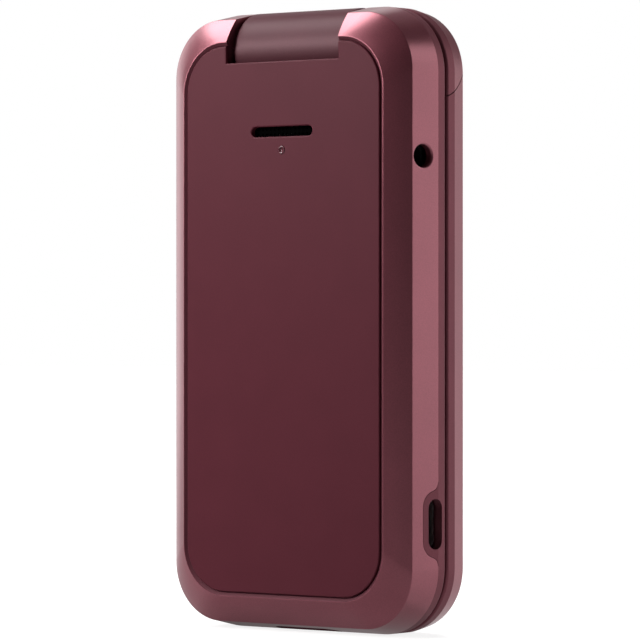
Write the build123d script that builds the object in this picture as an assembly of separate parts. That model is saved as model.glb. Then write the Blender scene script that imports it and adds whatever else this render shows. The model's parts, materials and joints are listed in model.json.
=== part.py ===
"""Flip phone, closed and standing on its lower edge. All sizes in millimetres.

X runs across the phone, Y through its thickness (the back panel at the low end, the lid at the
high end) and Z up towards the hinge. The origin is under the middle of the closed phone. Each
sub-part is one function, and each is written to its own file in parts/.
"""

import os
from math import acos, cos, radians, sin

from build123d import *

# Closed phone
WIDTH = 55.0
HEIGHT = 108.0  # each DROP below is measured down from here
DEPTH = 18.9
CORNER = 11.6  # corner radius where the phone is widest

# Back half, from the back towards the lid
CHAMFER_DEPTH = 2.77  # wide chamfer round the back panel
COVER_DEPTH = 8.53  # the whole removable back cover
BAND = 2.17  # the keypad frame's visible band
SIDE_DRAFT = 1.2  # how far the cover's wall leans in by the chamfer
RIM = 5.3  # from the phone's side to the chamfer's inner edge
RIM_LOW = 5.8  # the same at the phone's lower end
CROWN = 0.25  # how far the chamfers bulge
EDGE_CORNER = 10.2
RIM_CORNER = 8.9
WALL = 1.2
PLATE = 1.2  # floor of the cover behind the back panel

# Lid, from the keypad towards the front
SPLIT_GAP = 0.35  # between the closed halves
LID_BAND = 2.14  # the lid frame's visible band
FRONT_CHAMFER_DEPTH = 2.71
FRONT_DRAFT = 0.45
BAND_ROUND = 0.55  # rounding of both bands along the parting
WALL_EDGE_ROUND = 0.25  # rounding between the walls and the chamfers
PARTING_INSET = 0.7  # how far the knuckles step in between the bands

# Inlaid panels
PANEL_THICK = 1.0
PANEL_GAP = 0.08
PANEL_EDGE_ROUND = 0.25
RIM_LAND = 0.1
GROOVE_WIDTH = 0.62  # sloped side of the groove round a panel
GROOVE_DEPTH = 0.42
SLOT_WIDTH = 13.4  # loudspeaker slot
SLOT_HEIGHT = 1.75
SLOT_DROP = 21.3
MIC_PORT_R = 0.3
MIC_DISH_R = 0.75
MIC_DISH_DEPTH = 0.4
MIC_PORT_DROP = 24.5
MESH_THICK = 0.3
MESH_MARGIN = 0.8

# Hinge
BARREL_R = 7.2
BARREL_HALF = 12.15
BARREL_END_ROUND = 0.8
HINGE_Y = -0.9
END_GAP = 0.3  # barrel end to notch side
NOTCH_DROP = 9.1
NOTCH_STEP = 1.4  # the cover's floor stops this far below the notch
WELL_GAP = 0.35  # barrel to the trough it turns in
WELL_WALL = 0.8
KNUCKLE_R = 8.75
RUN_GAP = 0.3  # clearance round fixed parts near the hinge
SWING_GAP = 0.18  # lid shoulders to knuckles
SHOULDER_ANGLE = 53.0  # where the lid's shoulders end, up from the front
SCALLOP_ANGLE = 50.0  # where the lid's front runs off the barrel
CORE_R = 4.2  # boss behind each knuckle
CORE_LENGTH = 5.2
SHAFT_R = 1.5
SHAFT_FLAT = 1.1
SHAFT_GRIP = 6.0  # length held in the knuckle
CAN_R = 3.0
CAN_LENGTH = 13.0
FIT = 0.05  # radial clearance of a close fit
BUSH_R = 2.6
BUSH_WALL = 0.6
BUSH_IN_BARREL = 5.0
BUSH_IN_BASE = 6.0
TUBE_CLEARANCE = 0.08
SEAT_GAP = 0.05  # lid cover to barrel

# Keypad frame and its keys
FACE_PLATE = 0.9
BAND_WALL = 1.3
SKIRT_GAP = 0.15
SKIRT_WALL = 0.95
SKIRT_DEPTH = 1.1
BASIN = 0.25
KEY_TOP_DROP = 0.1  # key tops below the frame's face
KEY_REAR = 1.35  # key backs below the frame's face
KEY_TRAVEL_ROOM = 0.35
KEY_CLEARANCE = 0.15
KEY_FLANGE = 0.35
KEY_BEVEL = 0.25
KEY_SPACING = 1.4
KEY_FIELD_MARGIN = 4.1  # outer keys to the chassis's side
KEY_ROUND = 1.6
BOTTOM_ROW_Z = 13.5
TOP_ROW_DROP = 65.7
WING_HEIGHT = 8.4
WING_REACH = 0.8  # how far the wing keys pass the outer columns
WING_RISE = 6.25  # wing keys above and below the navigation ring's middle
NAV_DROP = 43.25
NAV_SPACING = 1.9
NAV_SIZE = 20.0
NAV_ROUND = 5.5
NAV_HOLE_R = 5.25
NAV_CLEARANCE = 0.4
SELECT_R = 4.75
PIVOT_RING_R = 6.1
PIVOT_ARM = 8.0
PIVOT_ARM_R = 0.16
PIVOT_THICK = 0.14
NAV_REAR_DROP = 0.25  # ring back below the plain keys' backs
NAV_FLANGE_THICK = 0.15
MAT_THICK = 0.4
SHEET_THICK = 0.15
DOME_R = 2.0
DOME_HEIGHT = 0.25
BOARD_THICK = 0.8
MAT_MARGIN = 1.0
MAT_LOW = 8.4
MAT_DROP = 30.1

# Ports and side keys
JACK_Y = -4.2
JACK_DROP = 26.0
JACK_R = 1.75
JACK_PORT_R = 1.9
JACK_PORT_ROUND = 0.35
JACK_LENGTH = 13.0
JACK_SIDE = 2.7  # socket body to the phone's side
JACK_BODY = 4.8
USB_Y = -1.5
USB_Z = 19.3
USB_SLOT = 8.6
USB_SLOT_HEIGHT = 3.2
USB_SHELL_WALL = 0.3
USB_LENGTH = 5.4
USB_TONGUE = 0.7
USB_SEAT_GAP = 0.1  # socket to the back of its island
ISLAND_DEPTH = 3.33  # how far an island reaches into the cover's wall
ISLAND_INSET = 1.4
ISLAND_ROUND = 2.8
ISLAND_FLARE = 1.6
ISLAND_GAP = 0.08
ISLAND_WALL = 1.6
SIDE_KEY_Y = -2.35
SIDE_KEY_WIDTH = 2.2
SIDE_KEY_PROUD = 0.28
SIDE_KEY_CLEARANCE = 0.15
SIDE_KEY_NOSE_R = 1.0
VOLUME_DROP = 38.0
VOLUME_LENGTH = 17.0
ALARM_DROP = 60.0
ALARM_LENGTH = 8.0
SIDE_FLEX_THICK = 0.3
NAIL_WIDTH = 14.0
NAIL_REACH = 3.0
NAIL_DEPTH = 0.9
TONGUE_HALF = 3.0
TONGUE_REACH = 0.7

# Inside the back half
MIC_SIDE = 4.0  # to the chassis's side
MIC_Z = 7.6
MIC_SIZE = 3.0
MIC_PORT_LOW_Z = 6.7
CHASSIS_INSET = 3.7
CHASSIS_CORNER = 7.9
CHASSIS_DROP = 16.0
CHASSIS_FLOOR = 0.3
INNER_GAP = 0.2
BAY_SIDE = 2.6
BAY_LOW = 24.6
BAY_DROP = 31.6
BAY_ROUND = 1.5
SCREW_HEAD_R = 1.2
SCREW_HEAD = 0.8
SCREW_R = 0.6
BOSS_R = 1.5
SCREW_SIDE = 1.2  # outer screws to the chassis's side
SCREW_Z = 27.0
SCREW_DROP = 38.0
TOP_SCREW_DROP = 28.4
TONGUE_Z = (34.0, 24.0)  # right and left
TONGUE_DROP = 20.0
SPEAKER_WIDTH = 18.0
SPEAKER_HEIGHT = 10.4
MOTOR_R = 4.0
MOTOR_SIDE = 6.8
MOTOR_DROP = 22.0
ANTENNA_SIDE = 8.3
CARD_Z = 11.6
CARD_SIDE = 2.3
CARD_MARGIN = 0.2
CARD_GAP = 0.6
CARD_CAGE = 13.0
SIM_WIDTH = 10.0
MEMORY_WIDTH = 12.0

# Inside the lid
LID_CAVITY_DROP = 16.2
WINDOW_DROP = 0.15
WINDOW_THICK = 0.6
WINDOW_SIDE = 3.5
WINDOW_LOW = 9.0
WINDOW_TOP_DROP = 18.6
WINDOW_ROUND = 5.0
DISPLAY_SIDE = 4.1
DISPLAY_LOW = 13.5
DISPLAY_DROP = 25.0
DISPLAY_THICK = 1.9
LID_BOARD_DROP = 23.0
LID_BOARD_LOW = 23.0
LID_BOARD_SIDE = 6.5
FRONT_WINDOW_DROP = 11.0
OUTER_DISPLAY_WIDTH = 34.0
OUTER_DISPLAY_HEIGHT = 44.0
OUTER_DISPLAY_DROP = 52.0
CAMERA_X = -6.0
CAMERA_DROP = 20.8
CAMERA_BODY = 7.4
CAMERA_RING_R = 3.4
FLASH_X = 5.0
FLASH_R = 1.6
EARPIECE_Z = 6.3
EARPIECE_SLOT = 10.0
PAD_R = 1.2
PAD_PROUD = 0.28
PAD_INSET = 5.45
PAD_DROP = 17.4

# Depths that follow from the sizes above
Y_BACK = -DEPTH / 2
Y_EDGE = Y_BACK + CHAMFER_DEPTH
Y_COVER = Y_BACK + COVER_DEPTH
Y_SPLIT = Y_COVER + BAND
Y_LID = Y_SPLIT + SPLIT_GAP
Y_LID_COVER = Y_LID + LID_BAND
Y_FRONT = DEPTH / 2
Y_SHOULDER = Y_FRONT - FRONT_CHAMFER_DEPTH
Y_COVER_FLOOR = Y_BACK + PANEL_THICK + PLATE
Y_LID_FLOOR = Y_FRONT - PANEL_THICK - PLATE
Y_PLATE_BACK = Y_SPLIT - FACE_PLATE
Y_KEY_TOP = Y_SPLIT - KEY_TOP_DROP
Y_KEY_REAR = Y_SPLIT - KEY_REAR
Y_MAT = Y_KEY_REAR - KEY_TRAVEL_ROOM
Y_DOMES = Y_MAT - MAT_THICK - KEY_CLEARANCE
Y_SHEET = Y_DOMES - DOME_HEIGHT
Y_BOARD = Y_SHEET - SHEET_THICK
Y_BOARD_REAR = Y_BOARD - BOARD_THICK
Y_CHASSIS = Y_BOARD_REAR - INNER_GAP
Y_CHASSIS_REAR = Y_COVER_FLOOR + 0.35
Y_WINDOW = Y_LID + WINDOW_DROP
Y_WINDOW_BACK = Y_WINDOW + WINDOW_THICK
Y_DISPLAY = Y_WINDOW_BACK + FIT
Y_NAV_REAR = Y_KEY_REAR - NAV_REAR_DROP
Y_NAV_PIVOT = Y_NAV_REAR - FIT - PIVOT_ARM_R  # both axes of the navigation gimbal

HINGE_Z = HEIGHT - BARREL_R
SLOT_Z = HEIGHT - SLOT_DROP
MIC_PORT_Z = HEIGHT - MIC_PORT_DROP
NOTCH_FLOOR = HEIGHT - NOTCH_DROP
JACK_Z = HEIGHT - JACK_DROP
VOLUME_Z = HEIGHT - VOLUME_DROP
ALARM_Z = HEIGHT - ALARM_DROP
CHASSIS_TOP = HEIGHT - CHASSIS_DROP
BAY_HIGH = HEIGHT - BAY_DROP
LID_CAVITY_TOP = HEIGHT - LID_CAVITY_DROP
WINDOW_HIGH = HEIGHT - WINDOW_TOP_DROP
DISPLAY_HIGH = HEIGHT - DISPLAY_DROP
LID_BOARD_TOP = HEIGHT - LID_BOARD_DROP
FRONT_WINDOW_TOP = HEIGHT - FRONT_WINDOW_DROP
OUTER_DISPLAY_Z = HEIGHT - OUTER_DISPLAY_DROP
CAMERA_Z = HEIGHT - CAMERA_DROP
MAT_TOP = HEIGHT - MAT_DROP
NAV_Z = HEIGHT - NAV_DROP
NOTCH_HALF = BARREL_HALF + END_GAP
LID_ARC_R = KNUCKLE_R + SWING_GAP
CHEEK_FLOOR = NOTCH_FLOOR - NOTCH_STEP
SKIRT_INSET = WALL + SKIRT_GAP + 0.1
SIDE_X = WIDTH / 2
PANEL_INSET = RIM_LAND + GROOVE_WIDTH + PANEL_GAP  # from the chamfer's inner edge
PANEL_TOP = HEIGHT - RIM - PANEL_INSET
CHASSIS_HALF = SIDE_X - CHASSIS_INSET
USB_MOUTH_X = SIDE_X - ISLAND_WALL - USB_SEAT_GAP
NOSE_X = -CHASSIS_HALF - SIDE_FLEX_THICK - 2 * KEY_TRAVEL_ROOM - SIDE_KEY_NOSE_R
MIC_X = CHASSIS_HALF - MIC_SIDE
BAY_HALF = CHASSIS_HALF - BAY_SIDE
WINDOW_HALF = SIDE_X - WINDOW_SIDE
DISPLAY_HALF = SIDE_X - DISPLAY_SIDE
JACK_END_X = SIDE_X - JACK_SIDE - JACK_LENGTH
KEY_FIELD = CHASSIS_HALF - KEY_FIELD_MARGIN
KEY_WIDTH = (2 * KEY_FIELD - 2 * KEY_SPACING) / 3
ROW_PITCH = (HEIGHT - TOP_ROW_DROP - BOTTOM_ROW_Z) / 3
KEY_HEIGHT = ROW_PITCH - KEY_SPACING
WING_IN = NAV_SIZE / 2 + NAV_SPACING
WING_OUT = KEY_FIELD + WING_REACH
MAT_HALF = KEY_FIELD + MAT_MARGIN
MOTOR_SPOT = (MOTOR_SIDE - CHASSIS_HALF, HEIGHT - MOTOR_DROP)
SCREW_X = CHASSIS_HALF - SCREW_SIDE
SCREW_SPOTS = [(x, z) for x in (-SCREW_X, SCREW_X) for z in (SCREW_Z, HEIGHT - SCREW_DROP)]
TOP_SCREW_X = JACK_END_X - BOSS_R + FIT
SCREW_SPOTS += [(x, HEIGHT - TOP_SCREW_DROP) for x in (-TOP_SCREW_X, TOP_SCREW_X)]
TONGUE_SPOTS = [(1, TONGUE_Z[0]), (-1, TONGUE_Z[1]), (1, HEIGHT - TONGUE_DROP), (-1, HEIGHT - TONGUE_DROP)]
PAD_SPOTS = [(side * (SIDE_X - PAD_INSET), z) for side in (-1, 1) for z in (PAD_INSET, HEIGHT - PAD_DROP)]
KEY_ROWS = [("key_star", "key_0", "key_hash"), ("key_7", "key_8", "key_9"),
            ("key_4", "key_5", "key_6"), ("key_1", "key_2", "key_3")]


# ---------------------------------------------------------------- helpers


def block(x, y, z):
    """Box between two corners, each axis given as (low, high)."""
    size = [high - low for low, high in (x, y, z)]
    middle = [(low + high) / 2 for low, high in (x, y, z)]
    return Pos(*middle) * Box(*size)


def slab(sketch, y_low, y_high):
    """Plate between two depths, its sketch drawn in x and z."""
    return extrude(Plane.XZ.offset(-y_high) * sketch, amount=y_high - y_low)


def outline(inset, radius):
    """The phone's rounded outline, brought in all round."""
    return Pos(0, HEIGHT / 2) * RectangleRounded(WIDTH - 2 * inset, HEIGHT - 2 * inset, radius)


def rim(inset, z_high=HEIGHT - RIM):
    """Outline of the chamfers' inner edge, or one that runs inside it all round."""
    width = WIDTH - 2 * RIM - 2 * inset
    height = z_high - RIM_LOW - 2 * inset
    return Pos(0, (z_high + RIM_LOW) / 2) * RectangleRounded(width, height, RIM_CORNER - inset)


def taper(sketch_a, y_a, sketch_b, y_b):
    """Straight-sided body between two outlines at two depths."""
    return loft([Plane.XZ.offset(-y_a) * sketch_a, Plane.XZ.offset(-y_b) * sketch_b], ruled=True)


def rounded(width, height, radius, x=0.0, z=0.0):
    """Rounded rectangle round a point."""
    return Pos(x, z) * RectangleRounded(width, height, radius)


def stadium(length, height, x=0.0, z=0.0):
    """Slot with round ends, its length along the first direction."""
    return Pos(x, z) * SlotOverall(length, height)


def disc(radius, y_low, y_high, x=0.0, z=0.0):
    """Round plate between two depths."""
    return slab(Pos(x, z) * Circle(radius), y_low, y_high)


def rod(radius, x_low, x_high, y=HINGE_Y, z=HINGE_Z):
    """Round bar along x, on the hinge axis unless said otherwise."""
    return extrude(Plane.YZ.offset(x_low) * Pos(y, z) * Circle(radius), amount=x_high - x_low)


def across(sketch, x_low, x_high):
    """Bar along x, its sketch drawn in y and z."""
    return extrude(Plane.YZ.offset(x_low) * sketch, amount=x_high - x_low)


def softened(shape, y, radius):
    """The shape with its edges at one depth rounded."""
    return fillet(shape.edges().filter_by_position(Axis.Y, y - 0.001, y + 0.001), radius)


def both_sides(shape):
    """The shape and its mirror image across the phone's middle."""
    return shape + mirror(shape, about=Plane.YZ)


# ---------------------------------------------------------------- outer forms


def chamfer_band(edge_inset, corner, y_edge, y_face):
    """Wide chamfer with a slight crown, from a wall's edge to the flat face."""
    outward = CROWN if y_face > y_edge else -CROWN
    middle = (WIDTH / 2 - (edge_inset + RIM) / 2 + CROWN / 2) * 2
    height = HEIGHT - (2 * edge_inset + RIM + RIM_LOW) / 2 + CROWN
    crown = rounded(middle, height, (corner + RIM_CORNER) / 2, 0, HEIGHT / 2 + (RIM_LOW - RIM) / 4)
    profiles = [(outline(edge_inset, corner), y_edge)]
    profiles += [(crown, (y_edge + y_face + outward) / 2), (rim(0), y_face)]
    return loft([Plane.XZ.offset(-y) * sketch for sketch, y in profiles])


def cover_envelope():
    """Back half from outside: a drafted wall, then the wide chamfer."""
    wall = taper(outline(0, CORNER), Y_COVER, outline(SIDE_DRAFT, EDGE_CORNER), Y_EDGE)
    shape = wall + chamfer_band(SIDE_DRAFT, EDGE_CORNER, Y_EDGE, Y_BACK)
    return softened(shape, Y_EDGE, WALL_EDGE_ROUND)


def cover_cavity():
    """Room inside the back cover, a wall's thickness in."""
    slope = (RIM - SIDE_DRAFT) / CHAMFER_DEPTH
    y_turn = Y_EDGE + 0.15 * WALL
    floor_inset = SIDE_DRAFT + WALL + slope * (y_turn - Y_COVER_FLOOR)
    turn = outline(SIDE_DRAFT + WALL, EDGE_CORNER - WALL)
    floor = outline(floor_inset, RIM_CORNER - 0.4)
    room = taper(outline(WALL, CORNER - WALL), Y_COVER, turn, y_turn)
    return room + taper(turn, y_turn, floor, Y_COVER_FLOOR)


def lid_cover_envelope():
    """Lid cover from outside: a short drafted wall, then the front chamfer."""
    corner = CORNER - FRONT_DRAFT
    wall = taper(outline(0, CORNER), Y_LID_COVER, outline(FRONT_DRAFT, corner), Y_SHOULDER)
    shape = wall + chamfer_band(FRONT_DRAFT, corner, Y_SHOULDER, Y_FRONT)
    return softened(shape, Y_SHOULDER, WALL_EDGE_ROUND)


def keypad_band():
    """Keypad frame's outer block, rounded along the parting."""
    return softened(slab(outline(0, CORNER), Y_COVER, Y_SPLIT), Y_SPLIT, BAND_ROUND)


def lid_band():
    """Lid frame's outer block, rounded along the parting."""
    return softened(slab(outline(0, CORNER), Y_LID, Y_LID_COVER), Y_LID, BAND_ROUND)


def panel(z_high, y_seat, y_face, cuts):
    """Inlaid panel with cut-outs, its face's edges rounded."""
    plate = rim(PANEL_INSET, z_high + PANEL_INSET) - cuts
    low, high = sorted((y_seat, y_face))
    return softened(slab(plate, low, high), y_face, PANEL_EDGE_ROUND)


def panel_recess(z_high, y_seat, y_face):
    """Recess that a panel drops into, with a sloped groove left all round."""
    z_rim = z_high + PANEL_INSET
    outward = 1 if y_face > y_seat else -1
    low, high = sorted((y_seat, y_face + outward))
    foot = rim(RIM_LAND + GROOVE_WIDTH, z_rim)
    groove = taper(foot, y_face - outward * GROOVE_DEPTH, rim(RIM_LAND, z_rim), y_face)
    return slab(foot, low, high) + groove


def island(length, z, side, gap=0.0):
    """Tab of the frame that reaches into the cover's wall round a port or key, with flared roots."""
    convex = ISLAND_ROUND + gap
    flare = ISLAND_FLARE - gap
    turn = acos(1 - ISLAND_DEPTH / (convex + flare))
    half = length / 2 - ISLAND_INSET
    end = half + (convex + flare) * sin(turn)
    y_base = Y_COVER - gap
    y_tip = y_base - ISLAND_DEPTH
    joint = (y_base - flare * (1 - cos(turn)), end - flare * sin(turn))
    root = (y_base - flare * (1 - cos(turn / 2)), end - flare * sin(turn / 2))
    crown = (y_tip + convex * (1 - cos(turn / 2)), half + convex * sin(turn / 2))
    rise = ThreePointArc((y_base, end), root, joint) + ThreePointArc(joint, crown, (y_tip, half))
    fall = mirror(rise, about=Plane.XZ)
    top = Line((y_tip, half), (y_tip, -half))
    back = Polyline((y_base, end), (Y_COVER + 1, end), (Y_COVER + 1, -end), (y_base, -end))
    shape = Pos(0, z) * make_face(Curve() + [rise, top, fall, back])
    x_low, x_high = sorted((side * (SIDE_X - ISLAND_WALL - 2 * gap), side * (SIDE_X + 1)))
    return across(shape, x_low, x_high) & block((-40, 40), (Y_EDGE, Y_COVER + gap), (0, HEIGHT))


def islands(gap=0.0):
    """The three islands: charging port, volume rocker and alarm key."""
    port = island(USB_SLOT, USB_Z, 1, gap)
    return port + island(VOLUME_LENGTH, VOLUME_Z, -1, gap) + island(ALARM_LENGTH, ALARM_Z, -1, gap)


# ---------------------------------------------------------------- back cover group


def back_cover():
    """Removable shell with the drafted wall, chamfer, two hinge ears and all its cut-outs."""
    shell = cover_envelope() - cover_cavity()
    shell -= rod(JACK_PORT_R, SIDE_X - 4, SIDE_X + 1, JACK_Y, JACK_Z)
    curved = shell.edges().filter_by(GeomType.LINE, reverse=True)
    mouth = curved.filter_by_position(Axis.Z, JACK_Z - 1, JACK_Z + 1).sort_by(Axis.X)[-1]
    shell = fillet(mouth, JACK_PORT_ROUND)
    cheek = block((NOTCH_HALF, NOTCH_HALF + WALL), (Y_BACK, Y_COVER), (CHEEK_FLOOR, HEIGHT))
    shell += cover_envelope() & both_sides(cheek)
    shell -= panel_recess(PANEL_TOP, Y_BACK + PANEL_THICK, Y_BACK)
    notch = (-NOTCH_HALF, NOTCH_HALF)
    shell -= block(notch, (Y_BACK - 1, Y_COVER + 1), (NOTCH_FLOOR, HEIGHT + 1))
    shell -= block(notch, (Y_BACK + PANEL_THICK, Y_COVER + 1), (CHEEK_FLOOR, HEIGHT + 1))
    shell -= rod(BARREL_R + WELL_GAP, -NOTCH_HALF, NOTCH_HALF)
    shell -= rod(BUSH_R + 3 * RUN_GAP, -SIDE_X + 8, SIDE_X - 8)
    shell -= islands(ISLAND_GAP)
    shell -= slab(stadium(SLOT_WIDTH, SLOT_HEIGHT, 0, SLOT_Z), Y_BACK, Y_COVER_FLOOR + 1)
    mesh_seat = stadium(SLOT_WIDTH + 2 * MESH_MARGIN, SLOT_HEIGHT + 2 * MESH_MARGIN, 0, SLOT_Z)
    shell -= slab(mesh_seat, Y_BACK, Y_BACK + PANEL_THICK + MESH_THICK)
    shell -= disc(MIC_DISH_R, Y_BACK, Y_COVER_FLOOR + 1, 0, MIC_PORT_Z)
    nail = Pos(0, Y_COVER) * RectangleRounded(NAIL_WIDTH, 2 * NAIL_REACH, NAIL_REACH * 0.8)
    shell -= extrude(nail, amount=NAIL_DEPTH)
    for side, z in TONGUE_SPOTS:
        shell += cover_tongue(side, z)
    return shell


def cover_tongue(side, z):
    """Locating tongue inside the cover's wall that slips behind the frame's band."""
    inner = SIDE_X - BAND_WALL - SKIRT_WALL
    outer = SIDE_X - BAND_WALL - SKIRT_GAP
    span = (z - TONGUE_HALF, z + TONGUE_HALF)
    root = block((inner, outer + 0.4), (Y_COVER - 2.4 * TONGUE_REACH, Y_COVER - SKIRT_GAP), span)
    tip = block((inner, outer), (Y_COVER - 2.4 * TONGUE_REACH, Y_COVER + TONGUE_REACH), span)
    tongue = root + tip
    return tongue if side > 0 else mirror(tongue, about=Plane.YZ)


def rear_panel():
    """Inlaid back panel, notched round the hinge barrel."""
    notch = Pos(0, HEIGHT) * Rectangle(2 * NOTCH_HALF, 2 * (HEIGHT - NOTCH_FLOOR))
    cuts = notch + stadium(SLOT_WIDTH, SLOT_HEIGHT, 0, SLOT_Z)
    plate = panel(PANEL_TOP, Y_BACK + PANEL_THICK, Y_BACK, cuts)
    dish = taper(Pos(0, MIC_PORT_Z) * Circle(MIC_DISH_R), Y_BACK,
                 Pos(0, MIC_PORT_Z) * Circle(MIC_PORT_R), Y_BACK + MIC_DISH_DEPTH)
    return plate - dish - disc(MIC_PORT_R, Y_BACK - 1, 0, 0, MIC_PORT_Z)


def speaker_mesh():
    """Thin perforated strip behind the loudspeaker slot."""
    length = SLOT_WIDTH + 2 * (MESH_MARGIN - FIT)
    height = SLOT_HEIGHT + 2 * (MESH_MARGIN - FIT)
    y_low = Y_BACK + PANEL_THICK
    strip = slab(stadium(length, height, 0, SLOT_Z), y_low, y_low + MESH_THICK)
    spots = GridLocations(0.9, 0.9, 14, 2)
    holes = [disc(0.22, y_low - 1, 0, spot.position.X, SLOT_Z + spot.position.Y) for spot in spots]
    return strip - holes


# ---------------------------------------------------------------- keypad frame and hinge


def knuckle_blank(y_low, y_high, envelope):
    """Part of both full-depth knuckles that lies between two depths."""
    bars = both_sides(rod(KNUCKLE_R, NOTCH_HALF, SIDE_X + 1))
    return envelope & bars & block((-SIDE_X, SIDE_X), (y_low, y_high), (0, HEIGHT))


def screw_bosses():
    """Posts behind the keypad face that the chassis screws bite into."""
    posts = [disc(BOSS_R, Y_BOARD + FIT, Y_PLATE_BACK, x, z) for x, z in SCREW_SPOTS]
    pilots = [disc(SCREW_R + FIT, Y_BOARD, Y_PLATE_BACK, x, z) for x, z in SCREW_SPOTS]
    return Part() + posts - pilots


def keypad_frame():
    """Keypad half's front shell: band, face with key openings, islands, hinge trough, knuckles."""
    shell = keypad_band()
    shell -= slab(outline(BAND_WALL, CORNER - BAND_WALL), Y_COVER - 1, Y_PLATE_BACK)
    skirt = slab(outline(SKIRT_INSET, CORNER - SKIRT_INSET), Y_COVER - SKIRT_DEPTH, Y_COVER + 0.4)
    inner = SKIRT_INSET + SKIRT_WALL
    skirt -= slab(outline(inner, CORNER - inner), Y_COVER - 2, Y_COVER + 1)
    root = outline(BAND_WALL - 0.3, CORNER - 1) - outline(inner, CORNER - inner)
    skirt += slab(root, Y_COVER, Y_COVER + 0.4)
    skirt -= block((-SIDE_X, SIDE_X), (Y_COVER - 2, Y_COVER + 1), (CHASSIS_TOP, HEIGHT))
    skirt -= skirt_gaps()
    shell += skirt
    shell += cover_envelope() & islands()
    well = BARREL_R + WELL_GAP
    trough = rod(well + WELL_WALL, -NOTCH_HALF - 0.5, NOTCH_HALF + 0.5)
    shell += trough & block((-30, 30), (Y_CHASSIS_REAR - 0.2, Y_SPLIT), (80, CHEEK_FLOOR - RUN_GAP))
    bands = keypad_band() + lid_band()
    bands += slab(outline(PARTING_INSET, CORNER - PARTING_INSET), Y_COVER, Y_LID_COVER)
    shell += knuckle_blank(Y_COVER, Y_LID_COVER, bands)
    core_x = NOTCH_HALF + WALL + RUN_GAP
    shell += both_sides(rod(CORE_R, core_x, core_x + CORE_LENGTH))
    shell -= block((-NOTCH_HALF, NOTCH_HALF), (HINGE_Y, Y_LID), (HINGE_Z - 3, HEIGHT + 1))
    shell -= rod(well, -NOTCH_HALF, NOTCH_HALF)
    shell += screw_bosses()
    shell -= shaft(FIT)
    shell -= rod(BUSH_R + FIT, -NOTCH_HALF - BUSH_IN_BASE - 3, -NOTCH_HALF)
    shell -= key_openings()
    shell -= port_slots()
    shell -= disc(MIC_PORT_R, Y_COVER, Y_SPLIT + 1, MIC_X, MIC_PORT_LOW_Z)
    return shell


def skirt_gaps():
    """Breaks in the frame's skirt for the cover's tongues, the ports and the side keys."""
    reach = (Y_COVER - 2, Y_COVER + 1)
    side = (SIDE_X - 5, SIDE_X - 1.05)
    clear = TONGUE_HALF + 2 * SKIRT_GAP
    spans = [(where, z - clear, z + clear) for where, z in TONGUE_SPOTS]
    spans += [(1, USB_Z - 6, USB_Z + 6), (1, JACK_Z - 4, JACK_Z + 4), (-1, ALARM_Z - 7, VOLUME_Z + 11)]
    gaps = []
    for where, low, high in spans:
        gap = block(side, reach, (low, high))
        gaps.append(gap if where > 0 else mirror(gap, about=Plane.YZ))
    return Part() + gaps


def port_slots():
    """Openings through the islands for the charging port and the side keys."""
    port = across(Pos(USB_Y, USB_Z) * Rot(0, 0, 90) * SlotOverall(USB_SLOT, USB_SLOT_HEIGHT),
                  SIDE_X - 2 * ISLAND_WALL, SIDE_X + 1)
    keys = []
    for length, z in ((VOLUME_LENGTH, VOLUME_Z), (ALARM_LENGTH, ALARM_Z)):
        hole = SlotOverall(length + 2 * SIDE_KEY_CLEARANCE, SIDE_KEY_WIDTH + 2 * SIDE_KEY_CLEARANCE)
        keys.append(across(Pos(SIDE_KEY_Y, z) * Rot(0, 0, 90) * hole, -SIDE_X - 1, 2 * ISLAND_WALL - SIDE_X))
    return port + keys


def hinge_caps():
    """Pair of caps that carry the lid cover's colour round the front of the knuckles."""
    return knuckle_blank(Y_LID_COVER, Y_FRONT, lid_cover_envelope())


def shaft(gap=0.0):
    """Hinge shaft with a flat, held in the right knuckle and turning in the hinge can."""
    x_low = NOTCH_HALF - CAN_LENGTH * 0.8
    bar = rod(SHAFT_R + gap, x_low, NOTCH_HALF + SHAFT_GRIP + gap)
    flat = block((NOTCH_HALF, 40), (HINGE_Y - 3, HINGE_Y + 3), (HINGE_Z + SHAFT_FLAT + gap, HINGE_Z + 4))
    return bar - flat


def hinge_can():
    """Steel can of the click hinge, closed at its inner end and keyed into the barrel."""
    x_low = BARREL_HALF - CAN_LENGTH
    can = rod(CAN_R, x_low, BARREL_HALF - FIT)
    rise = (HINGE_Z + 2, HINGE_Z + CAN_R + 0.5)
    key = block((x_low, BARREL_HALF - FIT), (HINGE_Y - 0.5, HINGE_Y + 0.5), rise)
    return can + key - rod(SHAFT_R + TUBE_CLEARANCE, x_low + 1, BARREL_HALF + 1)


def hinge_bush():
    """Hollow bush on the left that the barrel turns on and the flex runs through."""
    x_low = -NOTCH_HALF - BUSH_IN_BASE
    x_high = -NOTCH_HALF + BUSH_IN_BARREL
    return rod(BUSH_R, x_low, x_high) - rod(BUSH_R - BUSH_WALL, x_low - 1, x_high + 1)


# ---------------------------------------------------------------- keys


def key_sites():
    """Every plain key as name, centre x, centre z, width, height and corner radius."""
    sites = []
    for row, names in enumerate(KEY_ROWS):
        for column, name in enumerate(names):
            x = (1 - column) * (KEY_WIDTH + KEY_SPACING)
            sites.append((name, x, BOTTOM_ROW_Z + row * ROW_PITCH, KEY_WIDTH, KEY_HEIGHT, KEY_ROUND))
    middle = (WING_IN + WING_OUT) / 2
    for name, side, rise in (("soft_key_left", 1, WING_RISE), ("soft_key_right", -1, WING_RISE),
                             ("call_key", 1, -WING_RISE), ("end_key", -1, -WING_RISE)):
        sites.append((name, side * middle, NAV_Z + rise, WING_OUT - WING_IN, WING_HEIGHT, KEY_ROUND))
    return sites


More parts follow.
